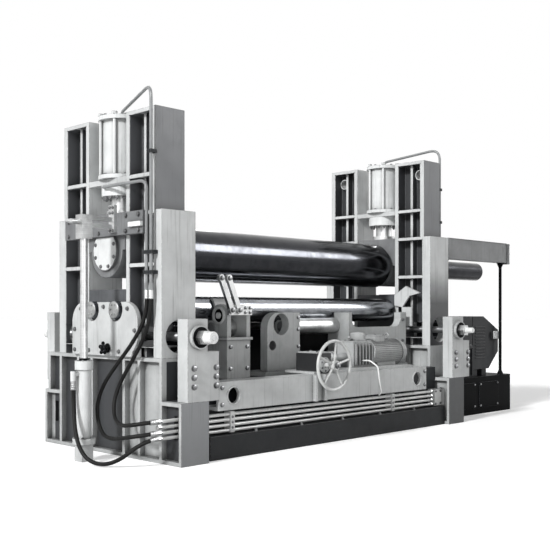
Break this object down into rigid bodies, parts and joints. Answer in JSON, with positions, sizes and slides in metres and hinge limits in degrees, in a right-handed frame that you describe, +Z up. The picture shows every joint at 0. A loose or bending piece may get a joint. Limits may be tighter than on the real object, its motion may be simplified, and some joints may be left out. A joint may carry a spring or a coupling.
{
  "type": "hydraulic plate bending machine",
  "caption": "Hydraulic plate bending machine: a heavy top roll over driven lower rolls, held between welded housings with lift cylinders, on a bed with pipes and a geared drive at one end.",
  "frame": {"origin": "on the floor, at the centre of the foundation bolt pattern, midway between the two housings and under the top roll", "axes": "+X along the rolls from the idle end to the drive end, +Y from the operator's side to the back, +Z up"},
  "size_m": [7.834, 2.992, 3.7504],
  "materials": {
    "light_machine_paint": "brushed light grey machine enamel, chalky and slightly worn at the edges",
    "grey_machine_paint": "mid grey machine enamel with oil film",
    "dark_machine_paint": "dark grey machine enamel, dusty",
    "black_machine_paint": "black machine enamel",
    "ground_roll_steel": "forged roll steel, ground and dark from mill scale",
    "bright_steel": "turned steel with fine tool marks",
    "steel_pipe": "drawn steel pipe with a pale coat",
    "hose_rubber": "matt black hydraulic hose",
    "cast_handwheel": "painted cast iron, rim worn bright"
  },
  "bodies": {
    "frame": {"left_front_column": "light_machine_paint", "left_rear_column": "light_machine_paint", "right_front_column": "light_machine_paint", "right_rear_column": "light_machine_paint", "left_crosshead": "light_machine_paint", "right_crosshead": "light_machine_paint", "left_base": "light_machine_paint", "right_base": "light_machine_paint", "left_screw_brackets": "light_machine_paint", "right_screw_brackets": "light_machine_paint", "left_feed_screws": "bright_steel", "right_feed_screws": "bright_steel", "left_lift_cylinder": "light_machine_paint", "right_lift_cylinder": "light_machine_paint", "left_lower_chock": "grey_machine_paint", "right_lower_chock": "grey_machine_paint", "lower_chock_cover": "light_machine_paint", "front_roll_stands": "light_machine_paint", "rear_roll_stands": "light_machine_paint", "guide_bars": "bright_steel", "bed_frame": "dark_machine_paint", "front_bed_beam": "light_machine_paint", "rear_bed_beam": "light_machine_paint", "base_pipes": "steel_pipe", "left_riser_pipes": "steel_pipe", "right_riser_pipe": "steel_pipe", "adjuster_gearbox": "grey_machine_paint", "adjuster_motor": "grey_machine_paint", "cable_arm": "grey_machine_paint", "conduit": "black_machine_paint", "drive_plinth": "black_machine_paint", "gear_case": "dark_machine_paint", "reducer": "dark_machine_paint", "drive_motor": "dark_machine_paint", "balance_cylinder": "light_machine_paint", "riser_hose_a": "hose_rubber", "riser_hose_b": "hose_rubber", "balance_hose": "hose_rubber"},
    "press": {"left_ram": "bright_steel", "right_ram": "bright_steel", "left_top_chock": "grey_machine_paint", "right_top_chock": "grey_machine_paint", "balance_rod": "bright_steel"},
    "top_roll": {"top_roll": "ground_roll_steel"},
    "front_roll": {"front_lower_roll": "ground_roll_steel"},
    "rear_roll": {"rear_lower_roll": "ground_roll_steel"},
    "front_backup": {"front_backup_rollers": "bright_steel"},
    "rear_backup": {"rear_backup_rollers": "bright_steel"},
    "handwheel": {"handwheel": "cast_handwheel"}
  },
  "joints": [
    {"name": "top_roll_lift", "type": "slide", "parent": "frame", "child": "press", "axis": [0, 0, 1], "range_m": [-0.1, 0.1]},
    {"name": "top_roll_turn", "type": "hinge", "parent": "press", "child": "top_roll", "pos_m": [0, 0, 2.125], "axis": [1, 0, 0], "continuous": true},
    {"name": "front_roll_turn", "type": "hinge", "parent": "frame", "child": "front_roll", "pos_m": [0, -0.21, 1.51], "axis": [1, 0, 0], "continuous": true},
    {"name": "rear_roll_turn", "type": "hinge", "parent": "frame", "child": "rear_roll", "pos_m": [0, 0.21, 1.51], "axis": [1, 0, 0], "continuous": true},
    {"name": "front_backup_turn", "type": "hinge", "parent": "frame", "child": "front_backup", "pos_m": [0, -0.3698, 1.31], "axis": [1, 0, 0], "continuous": true},
    {"name": "rear_backup_turn", "type": "hinge", "parent": "frame", "child": "rear_backup", "pos_m": [0, 0.3698, 1.31], "axis": [1, 0, 0], "continuous": true},
    {"name": "handwheel_turn", "type": "hinge", "parent": "frame", "child": "handwheel", "pos_m": [-0.385, -1.33, 0.89], "axis": [0, -1, 0], "continuous": true}
  ],
  "couplings": [
    {"joint": "rear_roll_turn", "follows": "front_roll_turn", "ratio": 1},
    {"joint": "front_backup_turn", "follows": "front_roll_turn", "ratio": -1.5},
    {"joint": "rear_backup_turn", "follows": "front_roll_turn", "ratio": -1.5}
  ]
}
